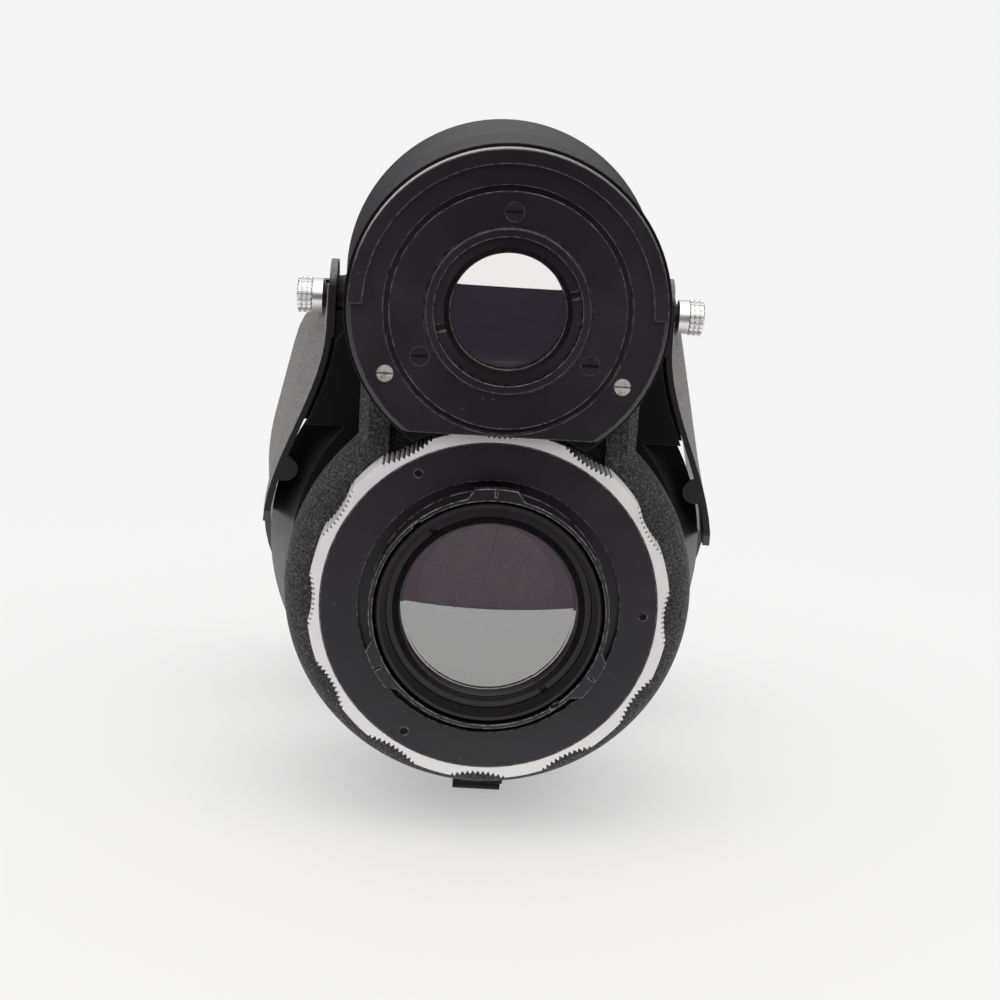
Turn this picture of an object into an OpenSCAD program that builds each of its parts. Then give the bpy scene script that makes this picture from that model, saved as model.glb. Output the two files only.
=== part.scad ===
// Interchangeable twin lens unit for a twin lens reflex camera.
// The taking lens axis is the Y axis and the mount flange lies at Y = 0.
// The viewing lens sits above it, the lens fronts face +Y and the mount side faces -Y.

/* [Twin lens unit] */
// Distance between the viewing axis and the taking axis
lens_sep = 60; // [59:0.5:63]
// How far the viewing plate stands behind the mount flange
view_step = 2.6; // [2.5:0.1:3.4]
// Gap between faces that move past each other
run_gap = 0.4; // [0.3:0.05:0.45]
// Radial clearance of turning fits and seated tubes
fit = 0.1; // [0.05:0.01:0.15]

/* [Viewing plate] */
// Radius of the plate behind the viewing lens
plate_r = 31; // [29.8:0.1:31.4]
// Thickness of the plate
plate_t = 2.2; // [1.8:0.1:2.4]
// Drop of the flat at the bottom of the plate, below the viewing axis
plate_flat = 24.4; // [23.5:0.1:27]
// Width of the raised rim round the upper half
rim_w = 2.7; // [2:0.1:3.2]
// Height of the raised rim
rim_h = 0.8; // [0.4:0.1:1.2]
// Outer radius of the groove round the clamp ring
groove_r = 24; // [23.8:0.1:24.6]
// Pitch radius of the plate screws
plate_screw_r = 26.5; // [26.3:0.1:26.8]

/* [Viewing lens] */
// Outer radius of the clamp ring that holds the rear cell
clamp_r = 22.9; // [22.5:0.1:23.3]
// Thickness of the clamp ring
clamp_t = 1.2; // [1:0.1:1.4]
// Pitch radius of the clamp ring screws
clamp_screw_r = 19; // [18.7:0.1:19.3]
// Outer radius of the rear cell
view_cell_r = 16.1; // [15.7:0.1:16.3]
// Visible radius of the viewing rear glass
view_glass_r = 11.2; // [10.8:0.1:12.1]
// Visible radius of the viewing front glass
view_front_r = 14.8; // [13:0.1:15]

/* [Lock ring and bayonet] */
// Radius of the lock ring at the smooth lands
lock_r = 36.3; // [36:0.1:36.6]
// Depth of the lock ring along the axis
lock_depth = 8.2; // [7.8:0.1:9]
// Number of finger scallops round the lock ring
scallops = 12; // [8:1:14]
// Angle that one scallop covers
scallop_angle = 20; // [14:1:24]
// Radius of the lock ring at the bottom of a scallop
scallop_floor_r = 34.6; // [34.5:0.05:35]
// Number of teeth in one scallop
scallop_teeth = 12; // [6:1:14]
// Radius of the black mount flange
flange_r = 33.8; // [33:0.1:33.9]
// Inner radius of the mount flange
flange_in_r = 26.2; // [26:0.1:27]
// Thickness of the mount flange
flange_t = 1.6; // [1.4:0.1:2]
// Radius over the three bayonet lugs
lug_r = 25.6; // [25:0.1:25.8]
// Radius of the hub between the lugs
hub_r = 23.9; // [23.8:0.1:24.3]
// Inner radius of the hub
hub_in_r = 23.1; // [22.95:0.05:23.2]
// How far the hub stands behind the flange
hub_out = 4.4; // [4:0.1:6]
// Thickness of a lug
lug_t = 2; // [1.5:0.1:2.5]
// Angle that the top of one lug covers
lug_angle = 19; // [14:1:26]
// Angle that one lug covers where it leaves the hub
lug_foot_angle = 32; // [26:1:40]
// Pitch radius of the flange screws
flange_screw_r = 31; // [29:0.1:31.5]

/* [Taking lens] */
// Outer radius of the taking rear cell
take_cell_r = 22.5; // [22.2:0.1:22.6]
// How far the rear cell stands behind the flange
take_out = 4; // [3.6:0.1:5.6]
// Visible radius of the taking rear glass
take_glass_r = 17.7; // [17:0.1:18.6]
// Outer radius of the front cell tube
front_cell_r = 24.2; // [23.8:0.1:24.4]
// Inner radius of the front filter thread
filter_r = 26; // [25:0.1:26.5]

/* [Casting and housing] */
// Outer radius of the crinkle finished casting round the shutter
cast_r = 42; // [41:0.1:42.5]
// Length of the casting from its back face to the housing
cast_len = 27.4; // [27:0.1:28.5]
// Radius of the viewing barrel at the back
barrel_back_r = 31.7; // [31.6:0.1:32.1]
// Radius of the viewing barrel at the front
barrel_front_r = 34.1; // [33.4:0.1:34.6]
// Radius of the taking bell at the front
bell_r = 48.7; // [48:0.1:49]
// Distance from the flange to the housing front
front_y = 60; // [59:0.5:62]

/* [Shutter] */
// Radius of the opening that the shutter blades close
gate_r = 13.4; // [12:0.1:13.5]
// Pitch radius of the shutter blade pins
blade_pivot_r = 26; // [25.5:0.1:26.5]
// Pitch radius of the iris blade pins
iris_pivot_r = 24; // [23.8:0.1:24.6]
// Thickness of one blade
blade_t = 0.4; // [0.3:0.02:0.45]
// Step from one blade level to the next
blade_step = 0.75; // [0.7:0.01:0.78]

/* [Lens shade] */
// Thickness of the shade sheet
shade_t = 1.5; // [1.2:0.1:1.6]
// Radius of the shade under the taking lens at its front rim
shade_front_r = 56.4; // [55.4:0.1:57.4]
// Radius of the shade where its hood begins
shade_hood_r = 52.2; // [51.8:0.1:54]
// Radius of the shade where it passes the housing
shade_mid_r = 50.9; // [50.8:0.1:52]
// Radius of the shade at its back edge
shade_back_r = 49; // [48.9:0.1:50]
// Distance from the flange to the front rim of the shade
shade_y = 127; // [120:1:130]
// Length of the closed hood behind the front rim
hood_len = 40; // [30:1:44]

/* [Thumb screws and foot] */
// Distance of the thumb screw axis from the flange
thumb_y = 43.5; // [42:0.1:45]
// Drop of the thumb screw axis below the viewing axis
thumb_drop = 5; // [4:0.1:6]
// Radius of the thumb screw knob
knob_r = 3.9; // [3.5:0.1:4.4]
// Width of the foot under the casting
foot_w = 10.4; // [9:0.1:14]
// Thickness of the foot sheet
foot_t = 1.8; // [1.4:0.1:2.2]
// Height of the foot under its pad
foot_h = 7.7; // [7.2:0.1:8.4]

/* [Hidden] */
$fn = 96;
far = 200;
fine = 720;
eps = 0.01;

// Colours
anodised = "#2a2522";
crinkle = "#3a3b3d";
satin = "#1d1d1f";
chrome = "#d8d9da";
steel = "#a8a8a6";
coated = "#6f6a80";
blackened = "#171514";
blade_grey = "#4a4d51";

// Screw sizes: head radius, head height or sink, shank radius, whole length
plate_screw = [1.6, 0.9, 0.8, 6];
clamp_screw = [1.8, 0.8, 0.8, 3];
flange_screw = [0.75, 0.5, 0.5, flange_t + 1];
keeper_screw = [1.4, 0.6, 0.7, 5.5];
housing_screw = [1.7, 1.8, 1, 10.8];
pad_screw = [1.7, 0.9, 1, 5.5];
screw_angles = [90, 210, 330];
plate_angles = [210, 330];
flange_angles = [0, 120, 240];
slot_w = 0.5;
hole_slack = 0.05;
drill_extra = 0.5;
plate_screw_proud = 0.1;
flange_sink = 0.7;

// Faces of the viewing side, from the plate forward
plate_back = -view_step;
plate_front = plate_back + plate_t;
plate_bevel = 0.8;
rim_inset = 0.3;
ledge_y = plate_back + clamp_t;
cell_flange_r = clamp_r - 1.3;
cell_flange_y = ledge_y + 2.6;
cell_proud = 0.8;
cell_wall = 1.8;
view_seat_r = view_cell_r - cell_wall;
view_ring_y = plate_back + 0.3;
view_ring_t = 1.5;
view_glass_t = 3.4;
view_seat_y = view_ring_y + view_ring_t + view_glass_t;
view_cell_end = view_seat_y + 10;
view_throat_r = view_glass_r + 0.2;
view_spanner_angle = 17;
spanner_w = 1.4;
barrel_bore_r = view_seat_r - 1;
barrel_swell = 0.6;
barrel_swell_y = front_y/2;
barrel_round = 1.8;

// Front cell of the viewing lens
view_front_seat_r = view_front_r + 2.2;
view_front_throat_r = view_front_r + 1;
front_tube_r = view_front_seat_r + 1.5;
front_tube_y = view_cell_end + 6;
view_front_glass_y = front_y - 10;
view_front_glass_t = 7;
view_front_ring_t = 1.8;
front_flange_t = 1.6;
view_filter_r = front_tube_r + 2;
filter_wall = 1.5;
rim_len = 4.4;

// Faces of the taking side, from the flange forward
foot_plate_t = 1.6;
hub_front = flange_t + foot_plate_t;
keeper_back = hub_front + run_gap;
keeper_t = 1.6;
nose_back = keeper_back + keeper_t;
cast_back = lock_depth + run_gap;
nose_r = flange_r - 2.8;
keeper_r = nose_r + 1.5;
sleeve_r = take_cell_r + 3.2;
cast_bore = sleeve_r + 0.3;
keeper_screw_r = (cast_bore + nose_r)/2;
cast_wall = 3.4;
cast_side = 3.2;
cast_round = 5;
cast_draft = 2.4;
neck_half = 28;
neck_low = 20;
neck_bevel = 2;
cast_front = cast_back + cast_len;
barrel_gap = 0.3;
bell_step = 0.6;
bell_flare = 2.4;
bell_flare_len = 5;
bell_lip = 6;
bell_round = 3;
bell_edge = 2;
relief_w = 43.5;
relief_d = 2;
relief_low = 26;
case_back = cast_back + cast_wall;
case_r = blade_pivot_r + 7.2;
cavity_r = case_r + 0.3;
case_wall = 2;
case_floor = 2;
chamber_y = case_back + case_floor;
ring_in_r = flange_r + fit;
lock_room = 1;
tooth_h = 0.8;
scallop_half = lock_r*sin(scallop_angle/2);
scallop_dip = lock_r*cos(scallop_angle/2) - scallop_floor_r;
scallop_arc = (scallop_half*scallop_half + scallop_dip*scallop_dip)/(2*scallop_dip);
hub_notch_angles = [131, 308];
hub_notch_w = 2;
hub_notch_d = 1.6;
index_w = 0.4;
index_d = 0.6;

// Taking rear cell and its glass
take_seat_r = take_cell_r - 1.9;
take_ring_y = -take_out + 2.8;
take_ring_t = 1.6;
take_glass_t = 3.1;
take_seat_y = take_ring_y + take_ring_t + take_glass_t;
take_neck_r = take_cell_r - 2.4;
take_throat_r = take_glass_r - 0.6;
take_spanner_angle = 127;
trap_ridges = 4;
trap_step = 0.25;
trap_len = 2;
cell_edge = 0.3;

// Blade levels
blade_count = 5;
blade_pitch = 360/blade_count;
blade_y = chamber_y + run_gap;
pin_r = 1;
pin_end = blade_y + blade_count*blade_step;
pin_root = 1;
drive_ring_y = pin_end + run_gap;
drive_ring_t = 1;
iris_y = drive_ring_y + drive_ring_t + 2*run_gap;
face_y = iris_y + blade_count*blade_step + 2*run_gap;
face_t = 2.5;
blade_r = gate_r + 1.6;
blade_lap = 1.7;
blade_boss = 2.4;
iris_in_r = gate_r + 1.2;
iris_out_r = iris_pivot_r - 2.2;
iris_boss = 2.2;
iris_start = -6;
iris_end = 82;

// Rings in front of the shutter
tube_r = front_cell_r + 3.3;
tube_step_r = tube_r + 2.5;
face_bore_r = front_cell_r - 4;
speed_in_r = tube_r + 3.1;
speed_r = speed_in_r + 3.6;
finger_room = 4.3;
housing_web = 3;
bore_y = cast_front + housing_web;
web_bore_r = tube_step_r + 1;
head_room = 0.8;
bore_r = max(speed_r + finger_room, cavity_r + 2*(housing_screw[0] + head_room));
housing_screw_r = (cavity_r + bore_r)/2;
screw_post_r = 3;
lever_t = 1.8;
lever_rim = 2.6;
lever_arm_w = 3.4;
cocking_y = bore_y + housing_screw[1] + 2*run_gap;
release_y = cocking_y + lever_t + run_gap;
cocking_angle = 300;
release_angle = 240;
speed_y = release_y + lever_t + run_gap;
speed_web = 2;
plate_y = front_y - 4;
ring_plate_t = 1.2;
speed_notches = 30;
notch_r = 1;
notch_d = 0.4;
aperture_y = speed_y + speed_web + run_gap;
aperture_r = speed_in_r - run_gap;
ring_front = plate_y - run_gap;
finger_r = 1.2;
finger_at = (speed_r + bore_r)/2;
finger_end = front_y + 4;
tab_r0 = tube_r + 0.9;
tab_r1 = aperture_r - 0.7;
tab_w = 3;
tab_len = 5;
tab_root = 1;
tab_slack = 0.3;
aperture_travel = 50;
tab_angle = 60;
tab_margin = 6;

// Front cell of the taking lens
cell_back = face_y + face_t + 0.5;
name_flange_r = tube_r + 0.2;
name_y = plate_y + ring_plate_t;
name_t = 1.8;
name_flare = 0.6;
filter_y = name_y + name_t;
filter_len = 7;
front_seat_r = front_cell_r - 1.6;
front_throat_r = front_seat_r - 2;
front_clear_r = front_seat_r - 1.8;
front_glass_t = 8;
front_ring_t = 1.8;
front_glass_y = filter_y - front_ring_t - front_glass_t - 1;

// Flash socket beside the rings
socket_angle = 200;
socket_at = (bore_r + bell_r)/2;
socket_r = 3;
socket_hole_r = 1.8;
socket_pin_r = 0.5;
socket_sink = 4;
socket_out = 3;
socket_floor = 2;

// Shade outline
thumb_z = lens_sep - thumb_drop;
shade_mid_y = front_y - 3;
hood_y = shade_y - hood_len;
shade_taper = 13;
shade_lean = shade_taper/lens_sep;
brow_drop = 7.4;
brow_y = 14;
brow_low = 14.5;
nib_y = 3;
nib_drop = 19;
nib_low = 24;
belly_z = -20;
ear_half = 6;
ear_rise = 8;
ear_drop = 8;
ear_x = barrel_front_r + 1.2;
ear_out = ear_x + shade_t;
seat_room = 0.4;
web_gap = 0.4;
web_low = 28;
web_top = 46;
web_step = 2;
web_lean = 6;
web_len = (front_y - bell_lip - cast_front)/3;
shank_r = 1.5;
boss_r = 5.8;
boss_taper = 1.4;
boss_room = 0.6;
tab_z = 17.6;
shade_tab_h = 5.2;
shade_tab_reach = 3.9;
shade_back_y = thumb_y - ear_half;
cheek_top = 49;
cheek_low = 5;
cheek_round = 3;
section_top = lens_sep + 6;
section_rows = 22;
section_turn = 5;
rim_flat = 0.6;

// Thumb screw lengths, outward from the ear
bush_r = 2.65;
bush_len = 1.4;
collar_len = 2.2;
collar_step = 0.3;
core_step = 0.7;
band_len = 1.8;
neck_len = 0.3;
band_out_len = 1.2;
knob_grooves = 20;
knurl_h = 0.45;
shank_in = ear_x - 8.2;

// Foot
foot_x = 0.8;
foot_y = cast_front - 7.8;
foot_len = 7.6;
foot_back = 9;
pad_z = -cast_r - 1.3;
stand_z = pad_z - foot_h;
pad_h = 5;
pad_margin = 1;
bend_r = 2.4;
foot_screw_y = foot_y - foot_back/2;

// Draws a flat shape as seen from the back and gives it depth from y forward
module slab(y, t) translate([0, y + t, 0]) rotate([90, 0, 0]) linear_extrude(t) children();

// Turns a profile of [radius, y] points about an axis at height z
module turned(z, points) translate([0, 0, z]) rotate([-90, 0, 0]) rotate_extrude() polygon(points);

// A cylinder along Y
module rod(r, y0, y1) translate([0, y0, 0]) rotate([-90, 0, 0]) cylinder(r = r, h = y1 - y0);

// A cone along Y
module cone(r0, r1, y0, y1) translate([0, y0, 0]) rotate([-90, 0, 0]) cylinder(r1 = r0, r2 = r1, h = y1 - y0);

// Places a child at a polar angle about an axis at height z
module polar(z, r, a, y = 0) translate([r*cos(a), y, z + r*sin(a)]) children();

// Places a child along X on the thumb screw axis, on one side
module thumb_axis(side) translate([0, thumb_y, thumb_z]) rotate([0, side*90, 0]) children();

module ring_shape(r0, r1) difference() {
    circle(r1);
    circle(r0);
}

function arc(r, a0, a1, steps = 4) = [
    for (i = [0:steps]) let (a = a0 + (a1 - a0)*i/steps) r*[cos(a), sin(a)]];

module wedge_shape(r, a0, a1) polygon(concat([[0, 0]], arc(r, a0, a1)));

// The slot across a screw head
module driver_slot(s) translate([-far/2, -1, -slot_w/2]) cube([far, 1 + s[1]/2, slot_w]);

// A slotted screw with a round head, head outward at -Y
module pan_screw(s) difference() {
    union() {
        rod(s[0], 0, s[1]);
        rod(s[2], s[1] - eps, s[3]);
    }
    driver_slot(s);
}

module pan_hole(s) {
    rod(s[0] + hole_slack, -1, s[1]);
    rod(s[2] + hole_slack, 0, s[3] + drill_extra);
}

// A slotted screw with a sunk conical head
module sunk_screw(s) difference() {
    union() {
        cone(s[0], s[2], 0, s[1]);
        rod(s[2], s[1] - eps, s[3]);
    }
    driver_slot(s);
}

module sunk_hole(s) {
    rod(s[0] + hole_slack, -1, eps);
    cone(s[0] + hole_slack, s[2] + hole_slack, 0, s[1]);
    rod(s[2] + hole_slack, 0, s[3] + drill_extra);
}

// One domed face of a lens element, bulging from y towards the given side
module dome_shape(clear_r, y, bulge, side) {
    ball_r = (clear_r*clear_r + bulge*bulge)/(2*bulge);
    translate([0, y]) scale([1, side]) intersection() {
        translate([0, -eps]) square([clear_r, bulge + eps]);
        translate([0, bulge - ball_r]) circle(ball_r, $fn = fine);
    }
}

// A lens element: a disc with a ground edge and a dome on each side inside the clear radius
module element(r, clear_r, y0, y1, back_bulge, front_bulge) rotate([-90, 0, 0]) rotate_extrude() union() {
    translate([0, y0]) square([r, y1 - y0]);
    dome_shape(clear_r, y0, back_bulge, -1);
    dome_shape(clear_r, y1, front_bulge, 1);
}

// A threaded retaining ring with two spanner slots
module spanner_ring(r0, r1, y, t, angle) difference() {
    slab(y, t) ring_shape(r0, r1);
    for (a = [angle, angle + 180]) rotate([0, -a, 0])
        translate([r0 - 1, y - eps, -spanner_w/2]) cube([r1 - r0 + 2, t/2, spanner_w]);
}

// Places of the four screws that join casting and housing
module at_housing_screws() for (a = [45:90:315]) polar(0, housing_screw_r, a) children();

// Outside of the viewing barrel, grown by a gap
function barrel_profile(gap, back, front) = [[0, back], [barrel_back_r + gap, back],
    [barrel_back_r + barrel_swell + gap, barrel_swell_y], [barrel_front_r + gap, front_y - bell_lip],
    [barrel_front_r + gap, front]];

// Flanks that fill the waist of the housing at depth y, close inside the cheeks of the shade
module web_shape(y) for (side = [0, 1]) mirror([side, 0]) polygon(concat([[0, web_low]],
    [for (z = [web_low:web_step:web_top]) [flank_half(z, y, shade_t + web_gap), z]],
    [[ear_x - web_gap, web_top + web_gap], [barrel_back_r - 1, web_top + web_lean],
    [0, web_top + web_lean]]));

// Figure eight housing that carries both lenses, with smooth flared outsides
module front_housing() color(satin) difference() {
    union() {
        turned(lens_sep, concat(barrel_profile(0, plate_front, front_y - bell_round),
            [[barrel_front_r - barrel_round, front_y], [0, front_y]]));
        turned(0, [[0, cast_front], [cast_r + bell_step, cast_front],
            [cast_r + bell_flare, cast_front + bell_flare_len], [bell_r, front_y - bell_lip],
            [bell_r, front_y - bell_round], [bell_r - bell_edge, front_y], [0, front_y]]);
        for (side = [-1, 1]) thumb_axis(side) translate([0, 0, shank_in])
            cylinder(r1 = boss_r, r2 = boss_r - boss_taper, h = ear_x - shank_in);
        for (y = [cast_front:web_len:front_y - bell_lip - eps]) slab(y, web_len) web_shape(y);
    }
    // Viewing lens bores
    translate([0, 0, lens_sep]) {
        rod(cell_flange_r + fit, plate_front - 1, cell_flange_y);
        rod(view_cell_r + fit, plate_front, view_cell_end + 1);
        rod(barrel_bore_r, plate_front, front_y);
        rod(front_tube_r + fit, front_tube_y, front_y + 1);
    }
    for (a = plate_angles) polar(lens_sep, plate_screw_r, a, plate_back)
        rod(plate_screw[2] + hole_slack, 0, plate_screw[3] + drill_extra);
    // Room for the lock ring, the shutter and the front rings
    rod(lock_r + lock_room, -far, cast_back);
    rod(cavity_r, cast_back - 1, cast_front + eps);
    rod(web_bore_r, cast_back, bore_y + 1);
    rod(bore_r, bore_y, front_y + 1);
    at_housing_screws() rod(housing_screw[2] + hole_slack, cast_front - 1, bore_y + 1);
    // Thumb screw and socket holes
    for (side = [-1, 1]) thumb_axis(side)
        translate([0, 0, shank_in - drill_extra]) cylinder(r = shank_r + fit, h = far);
    polar(0, socket_at, socket_angle) rod(socket_r + fit, front_y - socket_sink, front_y + 1);
}

// Block on the casting that hugs the viewing barrel
module neck() translate([0, 0, neck_low]) linear_extrude(lens_sep - neck_low) polygon([
    [-neck_half, cast_front], [-neck_half, cast_back + neck_bevel], [-neck_half + neck_bevel, cast_back],
    [neck_half - neck_bevel, cast_back], [neck_half, cast_back + neck_bevel], [neck_half, cast_front]]);

// Crinkle finished cup round the shutter, drawn in towards the front, with four screw posts inside
module rear_casting() color(crinkle) difference() {
    union() {
        difference() {
            rotate([-90, 0, 0]) rotate_extrude() {
                polygon([[0, cast_back], [cast_r - cast_round, cast_back], [cast_r, cast_back + cast_round],
                    [cast_r - cast_draft, cast_front], [0, cast_front]]);
                translate([cast_r - cast_round, cast_back + cast_round]) circle(cast_round);
            }
            cone(cast_r - cast_side, cast_r - cast_draft - cast_side, case_back, cast_front + eps);
        }
        rod(nose_r, nose_back, cast_back + 1);
        at_housing_screws() rod(screw_post_r, case_back - 1, cast_front);
        neck();
        translate([foot_x - foot_w/2 - pad_margin, foot_y - foot_back - pad_margin, pad_z])
            cube([foot_w + 2*pad_margin, foot_back + foot_t + 2*pad_margin, pad_h]);
    }
    translate([foot_x, foot_screw_y, pad_z - 1])
        cylinder(r = pad_screw[2] + hole_slack, h = pad_screw[3] + drill_extra);
    rod(cast_bore, nose_back - 1, cast_front);
    rod(cavity_r, case_back, cast_front + 1);
    turned(lens_sep, concat(barrel_profile(barrel_gap, plate_front, front_y), [[0, front_y]]));
    // Relief behind the flat of the viewing plate
    difference() {
        translate([-relief_w/2, cast_back - 1, relief_low]) cube([relief_w, relief_d + 1, far]);
        rod(nose_r, nose_back, cast_back + 1);
        rod(nose_r + 1, cast_back, cast_back + relief_d + 1);
    }
    at_housing_screws()
        rod(housing_screw[2] + hole_slack, cast_front - housing_screw[3] + housing_web, cast_front + 1);
    for (a = screw_angles) polar(0, keeper_screw_r, a, keeper_back)
        rod(keeper_screw[2] + hole_slack, 0, keeper_screw[3] + drill_extra);
}

module housing_screws() color(steel) at_housing_screws()
    translate([0, bore_y + housing_screw[1], 0]) rotate([180, 0, 0]) pan_screw(housing_screw);

// Black turned plate that closes the viewing barrel at the back
module viewing_plate() color(anodised) difference() {
    union() {
        turned(lens_sep, [[cell_flange_r + fit, plate_front], [cell_flange_r + fit, ledge_y],
            [groove_r, ledge_y], [groove_r, plate_back], [plate_r - plate_bevel, plate_back],
            [plate_r, plate_back + plate_bevel], [plate_r, plate_front]]);
        slab(plate_back - rim_h, rim_h + rim_inset) translate([0, lens_sep]) intersection() {
            ring_shape(plate_r - rim_inset - rim_w, plate_r - rim_inset);
            translate([-far, 0]) square([2*far, far]);
        }
    }
    translate([-far, -far, lens_sep - plate_flat - far]) cube([2*far, 2*far, far]);
    for (a = plate_angles)
        polar(lens_sep, plate_screw_r, a, plate_back - plate_screw_proud) pan_hole(plate_screw);
}

module plate_screws() color(chrome) for (a = plate_angles)
    polar(lens_sep, plate_screw_r, a, plate_back - plate_screw_proud) pan_screw(plate_screw);

module viewing_clamp_ring() color(anodised) difference() {
    slab(plate_back, clamp_t) translate([0, lens_sep]) ring_shape(view_cell_r + fit, clamp_r);
    for (a = screw_angles) polar(lens_sep, clamp_screw_r, a, plate_back) sunk_hole(clamp_screw);
}

module clamp_screws() color(blackened) for (a = screw_angles)
    polar(lens_sep, clamp_screw_r, a, plate_back) sunk_screw(clamp_screw);

module viewing_rear_cell() color(anodised) difference() {
    turned(lens_sep, [[view_seat_r, plate_back - cell_proud],
        [view_cell_r - cell_edge, plate_back - cell_proud],
        [view_cell_r, plate_back - cell_proud + cell_edge], [view_cell_r, ledge_y], [cell_flange_r, ledge_y],
        [cell_flange_r, cell_flange_y], [view_cell_r, cell_flange_y], [view_cell_r, view_cell_end],
        [view_throat_r, view_cell_end], [view_throat_r, view_seat_y], [view_seat_r, view_seat_y]]);
    for (a = screw_angles) polar(lens_sep, clamp_screw_r, a, plate_back)
        rod(clamp_screw[2] + hole_slack, 0, clamp_screw[3] + drill_extra/2);
}

module viewing_rear_ring() color(anodised) translate([0, 0, lens_sep])
    spanner_ring(view_glass_r, view_seat_r - fit, view_ring_y, view_ring_t, view_spanner_angle);

module viewing_rear_glass() color(coated, 0.6) translate([0, 0, lens_sep])
    element(view_seat_r - fit, view_glass_r - fit, view_ring_y + view_ring_t, view_seat_y, 1.2, 0.6);

module viewing_front_cell() color(satin) turned(lens_sep, [
    [view_front_throat_r, front_tube_y], [front_tube_r, front_tube_y], [front_tube_r, front_y],
    [view_filter_r + filter_wall, front_y], [view_filter_r + filter_wall, front_y + front_flange_t + rim_len],
    [view_filter_r, front_y + front_flange_t + rim_len], [view_filter_r, front_y + front_flange_t],
    [view_front_seat_r, front_y + front_flange_t], [view_front_seat_r, view_front_glass_y],
    [view_front_throat_r, view_front_glass_y]]);

module viewing_front_ring() color(satin) translate([0, 0, lens_sep]) spanner_ring(
    view_front_r, view_front_seat_r - fit, view_front_glass_y + view_front_glass_t, view_front_ring_t, 0);

module viewing_front_glass() color(coated, 0.6) translate([0, 0, lens_sep])
    element(view_front_seat_r - fit, view_front_r - fit, view_front_glass_y,
        view_front_glass_y + view_front_glass_t, 0.5, 2.2);

// Outline of one finger scallop with its V teeth, cut into the rim at angle 0
module scallop_cut() polygon([
    [lock_r + 2, -scallop_half],
    for (i = [0:2*scallop_teeth])
        let (z = scallop_half*(i/scallop_teeth - 1),
            x = scallop_floor_r + scallop_arc - sqrt(scallop_arc*scallop_arc - z*z))
            [x + (i % 2 == 0 ? 0 : tooth_h), z],
    [lock_r + 2, scallop_half]]);

// Chromed ring that turns the bayonet, with serrated finger scallops
module lock_ring() color(chrome) difference() {
    slab(0, lock_depth) difference() {
        circle(lock_r);
        for (i = [0:scallops - 1]) rotate(90 + i*360/scallops) scallop_cut();
    }
    rod(ring_in_r, -1, hub_front);
    rod(keeper_r + run_gap, 0, nose_back + run_gap);
    rod(nose_r + fit, 0, lock_depth + 1);
}

module lock_flange() color(anodised) difference() {
    slab(0, flange_t) ring_shape(flange_in_r, flange_r);
    for (a = flange_angles) polar(0, flange_screw_r, a) {
        rod(flange_screw[0] + hole_slack, -1, flange_sink);
        translate([0, flange_sink, 0]) sunk_hole(flange_screw);
    }
}

module flange_screws() color(blackened) for (a = flange_angles)
    polar(0, flange_screw_r, a, flange_sink) sunk_screw(flange_screw);

// One bayonet lug as seen from the back, with sloped ends
module lug_shape() polygon(concat(arc(lug_r, -lug_angle/2, lug_angle/2),
    arc(hub_in_r + eps, lug_foot_angle/2, -lug_foot_angle/2)));

// Hub with three lugs, screwed to the flange by its foot plate
module bayonet_hub() color(anodised) difference() {
    union() {
        slab(-hub_out, hub_out + hub_front) ring_shape(hub_in_r, hub_r);
        slab(flange_t, foot_plate_t) ring_shape(hub_in_r, flange_r);
        for (a = screw_angles) slab(-hub_out, lug_t) rotate(a) lug_shape();
    }
    rod(hub_in_r, -hub_out - 1, hub_front + 1);
    // Index line in the middle of each lug, and two spanner notches inside
    for (a = screw_angles) rotate([0, -a, 0])
        translate([hub_r, -hub_out - 1, -index_w/2]) cube([lug_r, 1 + index_d, index_w]);
    for (a = hub_notch_angles) rotate([0, -a, 0])
        translate([hub_in_r - 1, -hub_out - 1, -hub_notch_w/2]) cube([1.4, 1 + hub_notch_d, hub_notch_w]);
    for (a = flange_angles) polar(0, flange_screw_r, a, flange_sink)
        rod(flange_screw[2] + hole_slack, 0, far);
}

// Fixed ring that keeps the lock ring on the nose of the casting
module lock_keeper() color(steel) difference() {
    slab(keeper_back, keeper_t) ring_shape(cast_bore, keeper_r);
    for (a = screw_angles) polar(0, keeper_screw_r, a, keeper_back) sunk_hole(keeper_screw);
}

module keeper_screws() color(steel) for (a = screw_angles)
    polar(0, keeper_screw_r, a, keeper_back) sunk_screw(keeper_screw);

// Rear cell of the taking lens, with stepped light trap ridges behind the glass
module taking_rear_cell() color(anodised) turned(0, concat(
    [[take_seat_r + trap_ridges*trap_step, -take_out], [take_cell_r - cell_edge, -take_out],
    [take_cell_r, -take_out + cell_edge], [take_cell_r, case_back], [take_neck_r, case_back],
    [take_neck_r, chamber_y], [take_throat_r, chamber_y], [take_throat_r, take_seat_y],
    [take_seat_r, take_seat_y]],
    [for (i = [0:trap_ridges - 1], k = [0, 1])
        [take_seat_r + (i + k)*trap_step, -take_out + trap_len*(1 - i/trap_ridges)]]));

module taking_rear_ring() color(anodised)
    spanner_ring(take_glass_r, take_seat_r - fit, take_ring_y, take_ring_t, take_spanner_angle);

module taking_rear_glass() color(coated, 0.6)
    element(take_seat_r - fit, take_throat_r - fit, take_ring_y + take_ring_t, take_seat_y, 1.3, 0.8);

// Shutter case: a cup with a sleeve at the back and the five blade pins
module shutter_case() color(satin) union() {
    turned(0, [[take_neck_r + fit, case_back], [take_cell_r + fit, case_back],
        [take_cell_r + fit, keeper_back], [sleeve_r, keeper_back], [sleeve_r, case_back],
        [case_r, case_back], [case_r, face_y], [case_r - case_wall, face_y],
        [case_r - case_wall, chamber_y], [take_neck_r + fit, chamber_y]]);
    for (i = [0:blade_count - 1])
        polar(0, blade_pivot_r, i*blade_pitch) rod(pin_r, chamber_y - pin_root, pin_end);
}

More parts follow.
